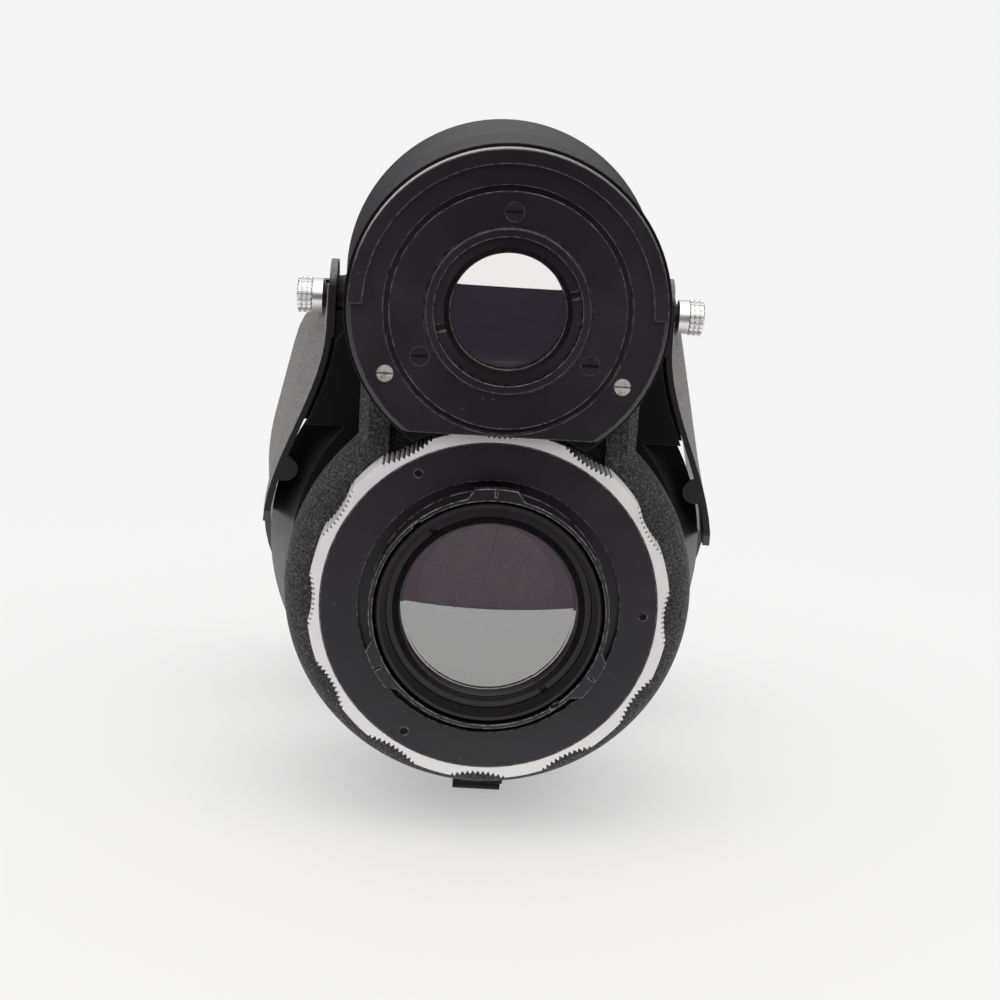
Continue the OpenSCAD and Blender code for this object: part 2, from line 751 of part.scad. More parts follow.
// One shutter blade as seen from the back, closed, with its pin at angle 0
module blade_shape() difference() {
    union() {
        intersection() {
            circle(blade_r);
            polygon([[-blade_lap, -blade_lap], [2*blade_r, -blade_lap], [2*blade_r, 2*blade_r],
                [blade_r*0.4, 2*blade_r]]);
        }
        polygon([[gate_r/2, -blade_lap], [blade_pivot_r, -blade_boss], [blade_pivot_r, blade_boss],
            [gate_r, gate_r/2]]);
        translate([blade_pivot_r, 0]) circle(blade_boss);
    }
    translate([blade_pivot_r, 0]) circle(pin_r + hole_slack);
}

module shutter_blade(i) color(blade_grey) slab(blade_y + i*blade_step, blade_t)
    rotate(i*blade_pitch) blade_shape();

// Ring inside the case that swings all shutter blades together
module blade_ring() color(steel) slab(drive_ring_y, drive_ring_t)
    ring_shape(iris_pivot_r - 3, case_r - case_wall - run_gap);

// One iris blade as seen from the back, open, with its pin at angle 0
module iris_shape() difference() {
    union() {
        intersection() {
            ring_shape(iris_in_r, iris_out_r);
            wedge_shape(2*iris_out_r, iris_start, iris_end);
        }
        translate([iris_pivot_r, 0]) circle(iris_boss);
        polygon([[iris_in_r + iris_boss, -iris_boss], [iris_pivot_r, -iris_boss], [iris_pivot_r, iris_boss],
            [iris_in_r + iris_boss, 2*iris_boss]]);
    }
    translate([iris_pivot_r, 0]) circle(pin_r + hole_slack);
}

module iris_blade(i) color(blade_grey) slab(iris_y + i*blade_step, blade_t)
    rotate(i*blade_pitch) iris_shape();

// Front of the shutter: a plate with the iris pins and the tube that the rings turn on
module shutter_face() color(satin) union() {
    turned(0, [[face_bore_r, face_y], [case_r, face_y], [case_r, face_y + face_t],
        [tube_step_r, face_y + face_t], [tube_step_r, cocking_y - run_gap], [tube_r, cocking_y - run_gap],
        [tube_r, plate_y], [front_cell_r + fit, plate_y], [front_cell_r + fit, face_y + face_t],
        [face_bore_r, face_y + face_t]]);
    for (i = [0:blade_count - 1])
        polar(0, iris_pivot_r, i*blade_pitch) rod(pin_r, iris_y - run_gap, face_y + pin_root);
}

// A lever ring with one arm and a finger pin that reaches out of the front
module lever(y, angle) difference() {
    union() {
        slab(y, lever_t) union() {
            circle(tube_r + lever_rim);
            rotate(angle) translate([0, -lever_arm_w/2]) square([finger_at, lever_arm_w]);
            rotate(angle) translate([finger_at, 0]) circle(lever_arm_w/2);
        }
        polar(0, finger_at, angle) rod(finger_r, y + lever_t/2, finger_end);
    }
    rod(tube_r + fit, y - 1, y + lever_t + 1);
}

module cocking_lever() color(chrome) lever(cocking_y, cocking_angle);

module release_lever() color(chrome) lever(release_y, release_angle);

// Ring that sets the speed, notched round its rim for the fingers
module speed_ring() color(steel) difference() {
    turned(0, [[tube_r + fit, speed_y], [speed_r, speed_y], [speed_r, ring_front],
        [speed_in_r, ring_front], [speed_in_r, speed_y + speed_web], [tube_r + fit, speed_y + speed_web]]);
    for (i = [0:speed_notches - 1])
        polar(0, speed_r + notch_r - notch_d, i*360/speed_notches) rod(notch_r, speed_y + speed_web, front_y);
}

// Ring that closes the iris, with a tab that stands out of the front plate
module aperture_ring() color(satin) union() {
    slab(aperture_y, ring_front - aperture_y) ring_shape(tube_r + fit, aperture_r);
    rotate([0, -tab_angle, 0]) translate([tab_r0, ring_front - tab_root, -tab_w/2])
        cube([tab_r1 - tab_r0, tab_root + tab_len, tab_w]);
}

// Fixed plate over the two setting rings, with a slot for the aperture tab
module ring_plate() color(chrome) difference() {
    slab(plate_y, ring_plate_t) ring_shape(front_cell_r + fit, speed_r - 0.5);
    slab(plate_y - 1, ring_plate_t + 2) intersection() {
        ring_shape(tab_r0 - tab_slack, tab_r1 + tab_slack);
        wedge_shape(2*speed_r, tab_angle - tab_margin, tab_angle + aperture_travel + tab_margin);
    }
}

module taking_front_cell() color(satin) turned(0, [
    [front_throat_r, cell_back], [front_cell_r, cell_back], [front_cell_r, name_y],
    [name_flange_r, name_y], [name_flange_r + name_flare, filter_y + filter_len],
    [filter_r, filter_y + filter_len], [filter_r, filter_y], [front_seat_r, filter_y],
    [front_seat_r, front_glass_y], [front_throat_r, front_glass_y]]);

module taking_front_ring() color(satin)
    spanner_ring(front_clear_r, front_seat_r - fit, front_glass_y + front_glass_t, front_ring_t, 0);

module taking_front_glass() color(coated, 0.6) element(
    front_seat_r - fit, front_throat_r - fit, front_glass_y, front_glass_y + front_glass_t, 0.6, 2.2);

// Flash socket: a sleeve with a pin in the middle
module sync_socket() color(chrome) polar(0, socket_at, socket_angle) {
    difference() {
        rod(socket_r, front_y - socket_sink, front_y + socket_out);
        rod(socket_hole_r, front_y - socket_floor, front_y + far);
    }
    rod(socket_pin_r, front_y - socket_floor - eps, front_y + socket_out - 1);
}

// Half width of the shade at height z: at its back edge, beside the housing at depth y, and in the hood
function ease(u) = u*u*(3 - 2*u);
function cheek_half(z, inset) = ear_out - inset
    + (shade_back_r - ear_out)*ease(max(0, min(1, (cheek_top - z)/(cheek_top - cheek_low))));
function flank_half(z, y, inset) = let (u = (y - shade_back_y + 1)/(shade_mid_y - shade_back_y + 1))
    (1 - u)*cheek_half(z, inset) + u*hood_half(shade_mid_r - inset, z);
function hood_half(r, z) = z > r*shade_lean ? (r - z*shade_lean)/sqrt(1 - shade_lean*shade_lean)
    : sqrt(r*r - z*z);

// One closed section of the shade, from the top right down round the taking lens to the top left
function section_side(r, inset) = [for (i = [0:section_rows]) let (z = section_top*(1 - i/section_rows))
    [r == 0 ? cheek_half(z, inset) : hood_half(r - inset, z), z]];
function section_low(r, inset) = let (drop = min(r, rim_flat - stand_z) - inset)
    [for (a = [section_turn:section_turn:180 - section_turn]) [(r - inset)*cos(a), -drop*sin(a)]];
function section(r, inset, y) = let (side = section_side(r, inset), n = section_rows)
    [for (p = concat(side, section_low(r == 0 ? shade_back_r : r, inset),
        [for (i = [n:-1:0]) [-side[i][0], side[i][1]]])) [p[0], y, p[1]]];

// Solid inside of the shade's outline, skinned over its four sections
module shade_body(inset) {
    past = inset > 0 ? 1 : 0;
    rings = [section(0, inset, shade_back_y - 1 - past), section(shade_mid_r, inset, shade_mid_y),
        section(shade_hood_r, inset, hood_y), section(shade_front_r, inset, shade_y + past)];
    n = len(rings[0]);
    last = len(rings) - 1;
    cap = [for (i = [0:(n - 3)/2]) let (j = n - 1 - i)
        i + 2 == j ? [i, i + 1, j] : [i, i + 1, j - 1, j]];
    skin = [for (k = [0:last - 1], i = [0:n - 1]) let (j = (i + 1) % n) each
        [[k*n + i, (k + 1)*n + i, k*n + j], [k*n + j, (k + 1)*n + i, (k + 1)*n + j]]];
    polyhedron([for (ring = rings) each ring],
        concat(cap, skin, [for (f = cap) [for (j = [len(f) - 1:-1:0]) last*n + f[j]]]));
}

// Side view of the shade: ears at the thumb screws, cheeks and the front hoop with its flat to stand on
module shade_side() translate([-far, 0, 0]) rotate([90, 0, 90]) linear_extrude(2*far) polygon([
    [shade_back_y, cheek_low + cheek_round], [shade_back_y, thumb_z + ear_half/2],
    [thumb_y + ear_half, thumb_z + ear_half/2], [thumb_y + 1.5*ear_half, thumb_z + ear_half/4],
    [hood_y, thumb_z - brow_drop], [shade_y - brow_y, thumb_z - brow_low],
    [shade_y - nib_y, thumb_z - nib_drop], [shade_y, thumb_z - nib_low],
    [shade_y, stand_z], [hood_y, stand_z], [hood_y - nib_y, belly_z], [front_y, cheek_low - 1],
    [shade_back_y + cheek_round, cheek_low]]);

// A small half round tab bent inward at the back edge of a cheek
module shade_tab() slab(shade_back_y, shade_t)
    translate([cheek_half(tab_z, shade_t/2) - shade_tab_reach, tab_z]) union() {
        intersection() {
            translate([shade_tab_h/2, 0]) circle(shade_tab_h/2);
            translate([0, -shade_tab_h/2]) square([shade_tab_h/2, shade_tab_h]);
        }
        translate([shade_tab_h/2, -shade_tab_h/2]) square([shade_tab_reach - shade_tab_h/2, shade_tab_h]);
    }

// Flat ear of the shade under a thumb screw, seen from the side
module ear_shape() union() {
    translate([0, ear_rise - ear_half]) circle(ear_half);
    translate([-ear_half, -ear_drop]) square([2*ear_half, ear_rise - ear_half + ear_drop]);
}

// Flared sheet shade with two cheeks, open above the taking lens
module lens_shade() color(crinkle) difference() {
    union() {
        difference() {
            intersection() {
                difference() {
                    shade_body(0);
                    shade_body(shade_t);
                }
                shade_side();
            }
            thumb_axis(1) translate([0, 0, -ear_x]) cylinder(r = boss_r + boss_room, h = 2*ear_x);
        }
        for (side = [0, 1]) mirror([side, 0, 0]) {
            translate([ear_x, thumb_y, thumb_z]) rotate([90, 0, 90]) linear_extrude(shade_t) ear_shape();
            shade_tab();
        }
    }
    thumb_axis(1) cylinder(r = shank_r + fit, h = 2*far, center = true);
    for (side = [-1, 1]) thumb_axis(side) translate([0, 0, ear_out])
        cylinder(r = knob_r + seat_room, h = far);
}

// Outline of a knurled band
module knurl_shape() polygon([for (i = [0:2*knob_grooves - 1])
    (i % 2 == 0 ? knob_r : knob_r - knurl_h)*[cos(i*180/knob_grooves), sin(i*180/knob_grooves)]]);

// Thumb screw along +X: shank, collar and two knurled bands
module thumb_screw() {
    knob_x = ear_out + bush_len + fit;
    collar_end = knob_x + collar_len;
    band_end = collar_end + band_len;
    knob_end = band_end + neck_len + band_out_len;
    collar_r = knob_r - collar_step;
    core_r = knob_r - core_step;
    thumb_axis(1) union() {
        rotate_extrude() polygon([[0, shank_in], [shank_r, shank_in], [shank_r, knob_x], [collar_r, knob_x],
            [collar_r, collar_end], [core_r, collar_end], [core_r, knob_end], [0, knob_end]]);
        translate([0, 0, collar_end]) linear_extrude(band_len) knurl_shape();
        translate([0, 0, band_end + neck_len]) linear_extrude(band_out_len) knurl_shape();
    }
}

module right_thumb_screw() color(chrome) thumb_screw();

module left_thumb_screw() color(chrome) mirror([1, 0, 0]) thumb_screw();

module thumb_bushes() color(blackened) for (side = [-1, 1]) thumb_axis(side)
    translate([0, 0, ear_out]) difference() {
        cylinder(r = bush_r, h = bush_len);
        translate([0, 0, -1]) cylinder(r = shank_r + fit, h = bush_len + 2);
    }

// Bent sheet foot that keeps the unit level with the shade rim
module foot() color(satin) difference() {
    translate([foot_x - foot_w/2, 0, 0]) rotate([90, 0, 90]) linear_extrude(foot_w) union() {
        translate([foot_y - foot_back, pad_z - foot_t]) square([foot_back + foot_t, foot_t]);
        translate([foot_y, stand_z + bend_r]) square([foot_t, pad_z - stand_z - bend_r]);
        translate([foot_y + bend_r, stand_z]) square([foot_len - bend_r, foot_t]);
        intersection() {
            translate([foot_y + bend_r, stand_z + bend_r]) ring_shape(bend_r - foot_t, bend_r);
            translate([foot_y, stand_z]) square([bend_r, bend_r]);
        }
    }
    translate([foot_x, foot_screw_y, pad_z - foot_t - 1])
        cylinder(r = pad_screw[2] + hole_slack, h = foot_t + 2);
}

module foot_screw() color(steel) translate([foot_x, foot_screw_y, pad_z - foot_t - pad_screw[1]])
    rotate([90, 0, 0]) pan_screw(pad_screw);

front_housing();
rear_casting();
housing_screws();
viewing_plate();
plate_screws();
viewing_clamp_ring();
clamp_screws();
viewing_rear_cell();
viewing_rear_ring();
viewing_rear_glass();
viewing_front_cell();
viewing_front_ring();
viewing_front_glass();
lock_ring();
lock_flange();
bayonet_hub();
flange_screws();
lock_keeper();
keeper_screws();
taking_rear_cell();
taking_rear_ring();
taking_rear_glass();
shutter_case();
shutter_face();
blade_ring();
shutter_blade(0);  // shutter_blade_1
shutter_blade(1);  // shutter_blade_2
shutter_blade(2);  // shutter_blade_3
shutter_blade(3);  // shutter_blade_4
shutter_blade(4);  // shutter_blade_5
iris_blade(0);  // iris_blade_1
iris_blade(1);  // iris_blade_2
iris_blade(2);  // iris_blade_3
iris_blade(3);  // iris_blade_4
iris_blade(4);  // iris_blade_5
cocking_lever();
release_lever();
speed_ring();
aperture_ring();
ring_plate();
taking_front_cell();
taking_front_ring();
taking_front_glass();
sync_socket();
lens_shade();
left_thumb_screw();
right_thumb_screw();
thumb_bushes();
foot();
foot_screw();
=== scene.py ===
import math

import bpy
from mathutils import Euler, Matrix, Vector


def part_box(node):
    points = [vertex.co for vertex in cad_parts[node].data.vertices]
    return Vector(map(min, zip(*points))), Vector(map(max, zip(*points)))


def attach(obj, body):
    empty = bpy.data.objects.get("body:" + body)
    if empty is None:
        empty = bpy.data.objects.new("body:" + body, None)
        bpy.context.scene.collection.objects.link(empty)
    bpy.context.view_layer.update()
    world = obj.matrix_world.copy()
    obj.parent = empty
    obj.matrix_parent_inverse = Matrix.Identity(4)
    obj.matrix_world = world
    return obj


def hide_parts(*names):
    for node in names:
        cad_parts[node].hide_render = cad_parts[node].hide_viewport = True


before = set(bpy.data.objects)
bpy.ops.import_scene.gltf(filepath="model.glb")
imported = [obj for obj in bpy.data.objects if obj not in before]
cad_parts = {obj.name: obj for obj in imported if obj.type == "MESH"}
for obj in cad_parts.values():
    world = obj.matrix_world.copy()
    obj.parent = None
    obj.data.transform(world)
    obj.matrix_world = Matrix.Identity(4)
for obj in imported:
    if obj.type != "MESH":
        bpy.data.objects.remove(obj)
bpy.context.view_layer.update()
bpy.ops.object.select_all(action="DESELECT")


# Front housing. A figure eight casting in light alloy that carries both lenses.
# It is machined at the bores, then sprayed with a smooth satin black enamel.
MM = 0.001


def node(mat, kind, settings=None, **inputs):
    """Adds a shader node; an input given as a socket is linked, anything else is set."""
    made = mat.node_tree.nodes.new("ShaderNode" + kind)
    for key, value in (settings or {}).items():
        setattr(made, key, value)
    for key, value in inputs.items():
        socket = made.inputs[int(key[1:])] if key[0] == "_" else made.inputs[key.replace("_", " ")]
        if isinstance(value, bpy.types.NodeSocket):
            mat.node_tree.links.new(value, socket)
        else:
            socket.default_value = value
    return made.outputs


def start_finish(name, **constants):
    """A new material with its constant values on the shader, and its Object coordinates."""
    mat = bpy.data.materials.new(name)
    mat.use_nodes = True
    shader = mat.node_tree.nodes["Principled BSDF"]
    for key, value in constants.items():
        shader.inputs[key.replace("_", " ")].default_value = value
    coords = node(mat, "TexCoord")["Object"]
    return mat, shader, coords


def feed(mat, shader, **sources):
    for key, source in sources.items():
        mat.node_tree.links.new(source, shader.inputs[key.replace("_", " ")])


def blend_colours(mat, share, low, high):
    return node(mat, "Mix", {"data_type": "RGBA"}, _0=share, _6=low, _7=high)[2]


def remap(mat, value, low_in, high_in, low_out, high_out):
    return node(mat, "MapRange", None, Value=value, From_Min=low_in, From_Max=high_in,
                To_Min=low_out, To_Max=high_out)["Result"]


def multiply(mat, first, second):
    return node(mat, "Math", {"operation": "MULTIPLY"}, _0=first, _1=second)[0]


def noise(mat, coords, scale, detail):
    return node(mat, "TexNoise", None, Vector=coords, Scale=scale, Detail=detail)["Fac"]


def soft_edges(mat, radius):
    """The normal of a lightly broken edge, and a mask that grows from 0 on a flat to 1 at that edge."""
    broken = node(mat, "Bevel", {"samples": 6}, Radius=radius)["Normal"]
    plain = node(mat, "NewGeometry")["Normal"]
    turn = node(mat, "VectorMath", {"operation": "DOT_PRODUCT"}, _0=broken, _1=plain)["Value"]
    return broken, remap(mat, turn, 0.985, 0.80, 0.0, 1.0)


def dress(mat, *names):
    for name in names:
        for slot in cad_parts[name].material_slots:
            slot.material = mat


# Height and reach of a band darkened as painted shade round the housing's narrow part between the lenses.
SHADED_WAIST_HEIGHT = 34 * MM
SHADED_WAIST_CORE = 20 * MM
SHADED_WAIST_END = 30 * MM


def satin_enamel(name, low, high):
    """Sprayed enamel, rubbed grey where hands reach it; painted shade makes faces along the axis and a band
    between the lenses near black.
    """
    mat, shader, coords = start_finish(name, Metallic=0.0, IOR=1.33)
    cloud = noise(mat, coords, 70.0, 4.0)
    peel = noise(mat, coords, 1300.0, 2.0)
    broken, edge = soft_edges(mat, 0.3 * MM)
    bump = node(mat, "Bump", None, Strength=0.08, Distance=0.05 * MM, Height=peel, Normal=broken)["Normal"]
    colour = blend_colours(mat, cloud, (low, low, 1.05 * low, 1), (high, high, 1.05 * high, 1))
    # Painted shade: faces that look along the lens axis are made near black.
    facing = node(mat, "SeparateXYZ", None, Vector=node(mat, "TexCoord")["Normal"])["Y"]
    flat = remap(mat, node(mat, "Math", {"operation": "ABSOLUTE"}, _0=facing)[0], 0.5, 0.8, 0.0, 1.0)
    # Painted shade: a band round the narrow part between the lenses is made darker.
    height = node(mat, "SeparateXYZ", None, Vector=coords)["Z"]
    above = node(mat, "Math", {"operation": "SUBTRACT"}, _0=height, _1=SHADED_WAIST_HEIGHT)[0]
    off_waist = node(mat, "Math", {"operation": "ABSOLUTE"}, _0=above)[0]
    waist_shade = remap(mat, off_waist, SHADED_WAIST_CORE, SHADED_WAIST_END, 1.0, 0.0)
    colour = blend_colours(mat, waist_shade, colour, (0.018, 0.018, 0.020, 1))
    colour = blend_colours(mat, flat, colour, (0.003, 0.003, 0.0035, 1))
    colour = blend_colours(mat, multiply(mat, edge, cloud), colour, (0.10, 0.10, 0.10, 1))
    feed(mat, shader, Base_Color=colour, Normal=bump, Roughness=remap(mat, cloud, 0.3, 0.7, 0.36, 0.46))
    return mat


dress(satin_enamel("housing enamel", low=0.060, high=0.080), "front_housing")


# Rear casting. A cup of light alloy that closes the shutter in from behind.
# Its outside has a baked crinkle finish, which wrinkles by itself in the oven.
def crinkle(mat, coords, grain):
    """Height of the wrinkles, from 0 in a furrow to 1 on a ridge."""
    warp = node(mat, "TexNoise", None, Vector=coords, Scale=grain * 0.6, Detail=2.0)["Color"]
    bent = node(mat, "Mix", {"data_type": "VECTOR"}, _0=0.7 * MM, _4=coords, _5=warp)[1]
    worms = node(mat, "TexNoise", None, Vector=bent, Scale=grain, Detail=3.0, Roughness=0.6)["Fac"]
    return remap(mat, worms, 0.36, 0.64, 0.0, 1.0)


def casting_crinkle():
    mat, shader, coords = start_finish("black crinkle", Metallic=0.0, IOR=1.5)
    ridge = crinkle(mat, coords, 2300.0)
    ridge_glints = remap(mat, ridge, 0.55, 1.0, 0.0, 1.0)
    bump = node(mat, "Bump", None, Strength=1.0, Distance=0.22 * MM, Height=ridge)["Normal"]
    # Painted light and shade on the wrinkles: darker furrows, lighter ridges and painted glints on the ridge
    # tips.
    colour = blend_colours(mat, ridge, (0.008, 0.008, 0.009, 1), (0.050, 0.050, 0.054, 1))
    colour = blend_colours(mat, ridge_glints, colour, (0.11, 0.11, 0.114, 1))
    feed(mat, shader, Base_Color=colour, Normal=bump, Roughness=remap(mat, ridge, 0.0, 1.0, 0.62, 0.34))
    return mat


dress(casting_crinkle(), "rear_casting")


# Viewing plate, clamp ring and cells. Turned from light alloy and dyed black by anodising.
# The plate is held by two screws and the ring by three; the lathe marks still show as rings.
VIEWING_AXIS = (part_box("viewing_clamp_ring")[0].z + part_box("viewing_clamp_ring")[1].z) / 2
PLATE_RADIUS = (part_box("viewing_plate")[1].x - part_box("viewing_plate")[0].x) / 2
# Reach of the bright rim line, which is partly wear and partly painted highlight.
RUB_AND_GLINT_START = 0.32 * MM
RUB_AND_GLINT_FULL = 0.20 * MM


def speck_mask(mat, coords, scale, share):
    """Small round specks of dust, in only a share of the cells."""
    cells = node(mat, "TexVoronoi", None, Vector=coords, Scale=scale)
    dot = node(mat, "Math", {"operation": "LESS_THAN"}, _0=cells["Distance"], _1=0.09)[0]
    pick = node(mat, "SeparateColor", None, Color=cells["Color"])["Red"]
    kept = node(mat, "Math", {"operation": "LESS_THAN"}, _0=pick, _1=share)[0]
    return multiply(mat, dot, kept)


def anodised(name, axis_height, wear, rim=None):
    """Black dye over lathe marks about one lens axis; a rim radius adds a bright line at the top left of the
    rim, partly wear, partly painted highlight.
    """
    mat, shader, coords = start_finish(name, Metallic=0.0, IOR=1.5, Anisotropic=0.6)
    centred = node(mat, "Mapping", None, Vector=coords, Location=(0, 0, -axis_height))["Vector"]
    across = node(mat, "VectorMath", {"operation": "CROSS_PRODUCT"}, _0=centred, _1=(0, 1, 0))["Vector"]
    lathe_way = node(mat, "VectorTransform", {"vector_type": "VECTOR", "convert_from": "OBJECT",
                                              "convert_to": "WORLD"}, Vector=across)["Vector"]
    rings = node(mat, "TexWave", {"wave_type": "RINGS", "rings_direction": "Y"}, Vector=centred,
                 Scale=1400.0, Distortion=1.5, Detail=2.0)["Fac"]
    cloud = noise(mat, coords, 110.0, 5.0)
    broken, edge = soft_edges(mat, (0.2 + 0.25 * wear) * MM)
    bump = node(mat, "Bump", None, Strength=0.12, Distance=0.03 * MM, Height=rings, Normal=broken)["Normal"]
    colour = blend_colours(mat, cloud, (0.0105, 0.0098, 0.0126, 1), (0.0150, 0.0140, 0.0175, 1))
    rub = remap(mat, noise(mat, coords, 900.0, 2.0), 0.38, 0.60, 0.0, wear)
    colour = blend_colours(mat, multiply(mat, edge, rub), colour, (0.45, 0.43, 0.41, 1))
    # Painted highlight and wear: a bright line along the rim, strongest at the top left, where the light
    # falls.
    if rim:
        flat = node(mat, "VectorMath", {"operation": "MULTIPLY"}, _0=centred, _1=(1, 0, 1))["Vector"]
        reach = node(mat, "VectorMath", {"operation": "LENGTH"}, _0=flat)["Value"]
        line = remap(mat, reach, rim - RUB_AND_GLINT_START, rim - RUB_AND_GLINT_FULL, 0.0, 1.0)
        place = node(mat, "SeparateXYZ", None, Vector=centred)
        upper = multiply(mat, remap(mat, place["Z"], 0.2 * rim, 0.6 * rim, 0.0, 1.0),
                         remap(mat, place["X"], 0.7 * rim, -0.2 * rim, 0.25, 1.0))
        colour = blend_colours(mat, multiply(mat, line, upper), colour, (0.50, 0.49, 0.48, 1))
    colour = blend_colours(mat, speck_mask(mat, coords, 520.0, 0.05), colour, (0.10, 0.09, 0.085, 1))
    feed(mat, shader, Base_Color=colour, Normal=bump, Tangent=lathe_way,
         Roughness=remap(mat, cloud, 0.3, 0.7, 0.30, 0.40))
    return mat


VIEWING_BLACK = anodised("viewing side anodised", VIEWING_AXIS, wear=0.8)
dress(anodised("viewing plate anodised", VIEWING_AXIS, wear=0.6, rim=PLATE_RADIUS), "viewing_plate")
dress(VIEWING_BLACK, "viewing_clamp_ring", "viewing_rear_cell", "viewing_rear_ring",
      "viewing_front_cell", "viewing_front_ring")


# Screws. Turned steel with a sawn slot; the bright ones are stained by age,
# and those of the rings are blackened in oil so that they throw no light.
# Reach of the painted shade in screw slots.
SLOT_SHADE_REACH = 0.5 * MM


def recess_shade_mask(mat, reach):
    """Painted shade, from 0 in the open to 1 deep in a slot or between teeth, by ambient occlusion."""
    clear = node(mat, "AmbientOcclusion", {"samples": 8, "only_local": True}, Distance=reach)["AO"]
    return remap(mat, clear, 0.80, 0.40, 0.0, 1.0)


def bare_steel():
    mat, shader, coords = start_finish("turned steel", Metallic=1.0)
    stain = noise(mat, coords, 900.0, 4.0)
    broken, _ = soft_edges(mat, 0.12 * MM)
    rust = remap(mat, stain, 0.42, 0.70, 0.0, 1.0)
    colour = blend_colours(mat, rust, (0.86, 0.84, 0.80, 1), (0.42, 0.36, 0.29, 1))
    # Painted shade darkens the slot.
    colour = blend_colours(mat, recess_shade_mask(mat, SLOT_SHADE_REACH), colour, (0.03, 0.025, 0.02, 1))
    feed(mat, shader, Base_Color=colour, Normal=broken, Roughness=remap(mat, stain, 0.3, 0.7, 0.45, 0.65))
    return mat


def oiled_black():
    mat, shader, coords = start_finish("oil blackened steel", Metallic=0.0, IOR=1.5)
    stain = noise(mat, coords, 1200.0, 3.0)
    colour = blend_colours(mat, stain, (0.006, 0.0055, 0.006, 1), (0.016, 0.014, 0.015, 1))
    # Painted shade darkens the slot further.
    colour = blend_colours(mat, recess_shade_mask(mat, SLOT_SHADE_REACH), colour, (0.002, 0.002, 0.002, 1))
    feed(mat, shader, Base_Color=colour, Roughness=remap(mat, stain, 0.3, 0.7, 0.35, 0.55))
    return mat


STEEL = bare_steel()
dress(STEEL, "plate_screws", "housing_screws", "keeper_screws", "foot_screw", "lock_keeper")
OIL_BLACK = oiled_black()
dress(OIL_BLACK, "clamp_screws", "flange_screws")


# Lenses. Ground and polished glass with a thin evaporated coating, each seated in its cell.
# Every lens has a plain ground edge and two domed faces, turned here about its own axis.
LATHE_STEPS = 96
SEAM = 0.002 * MM


def spin_outline(name, outline, axis_height, steps):
    """Turns (radius, depth) points about a lens axis and closes the seam; the piece stays in edit mode."""
    radius, depth = outline[0]
    bpy.ops.mesh.primitive_plane_add(size=MM, location=(radius, depth, axis_height))
    piece = bpy.context.active_object
    piece.name = name
    bpy.ops.object.transform_apply(location=True, rotation=True, scale=True)
    bpy.ops.object.mode_set(mode="EDIT")
    bpy.ops.mesh.select_all(action="SELECT")
    bpy.ops.mesh.merge(type="CENTER")
    for start, end in zip(outline, outline[1:]):
        step = (end[0] - start[0], end[1] - start[1], 0)
        bpy.ops.mesh.extrude_region_move(TRANSFORM_OT_translate={"value": step})
    bpy.ops.mesh.select_all(action="SELECT")
    bpy.ops.mesh.spin(steps=steps, angle=2 * math.pi, center=(0, 0, axis_height), axis=(0, 1, 0))
    bpy.ops.mesh.select_all(action="SELECT")
    bpy.ops.mesh.remove_doubles(threshold=SEAM)
    bpy.ops.mesh.normals_make_consistent(inside=False)
    return piece


def turn_on_lathe(name, outline, axis_height, smooth_below):
    """A finished round piece, smooth wherever its faces meet below an angle in degrees."""
    piece = spin_outline(name, outline, axis_height, LATHE_STEPS)
    bpy.ops.object.mode_set(mode="OBJECT")
    bpy.ops.object.shade_smooth_by_angle(angle=math.radians(smooth_below))
    bpy.ops.object.select_all(action="DESELECT")
    return piece


def dome(clear, depth, bulge, steps=12):
    """Points of a domed face from its pole out to the clear radius; bulge is its signed height."""
    ball = (clear * clear + bulge * bulge) / (2 * abs(bulge))
    spread = math.asin(clear / ball)
    side = math.copysign(1.0, bulge)
    return [(ball * math.sin(spread * i / steps),
             depth + bulge - side * ball * (1 - math.cos(spread * i / steps))) for i in range(steps + 1)]


def coated_glass(name, **coating):
    mat, shader, coords = start_finish(name, Metallic=0.0, IOR=1.5, Roughness=0.0,
                                       Transmission_Weight=1.0, **coating)
    haze = noise(mat, coords, 160.0, 3.0)
    feed(mat, shader, Base_Color=blend_colours(mat, haze, (0.975, 0.965, 0.965, 1), (1.0, 1.0, 1.0, 1)))
    return mat


def lens(cad_node, axis_height, clear, back_bulge, front_bulge, back_glass=None):
    """A lens in the place of a plain CAD disc; its back face may have a coating of its own."""
    low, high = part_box(cad_node)
    edge = (high.x - low.x) / 2
    back, front = low.y + back_bulge, high.y - front_bulge
    outline = dome(clear, back, -back_bulge) + [(edge, back), (edge, front)]
    outline += dome(clear, front, front_bulge)[::-1]
    piece = turn_on_lathe(cad_node.replace("glass", "lens"), outline, axis_height, 3)
    piece.data.materials.append(PURPLE_GLASS)
    if back_glass:
        piece.data.materials.append(back_glass)
        for face in piece.data.polygons:
            face.material_index = 1 if face.center.y < back else 0
    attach(piece, "frame")
    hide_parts(cad_node)


PURPLE_GLASS = coated_glass("purple coated glass", Thin_Film_Thickness=125.0, Thin_Film_IOR=1.38)
MIRROR_GLASS = coated_glass("strongly coated glass", Coat_Weight=1.0, Coat_IOR=3.4, Coat_Roughness=0.01)
TAKING_AXIS = 0.0
lens("viewing_rear_glass", VIEWING_AXIS, clear=11.1 * MM, back_bulge=1.2 * MM, front_bulge=0.6 * MM)
lens("viewing_front_glass", VIEWING_AXIS, clear=14.7 * MM, back_bulge=0.5 * MM, front_bulge=2.2 * MM)
lens("taking_rear_glass", TAKING_AXIS, clear=17.0 * MM, back_bulge=1.3 * MM, front_bulge=0.8 * MM,
     back_glass=MIRROR_GLASS)
lens("taking_front_glass", TAKING_AXIS, clear=20.5 * MM, back_bulge=0.6 * MM, front_bulge=2.2 * MM)


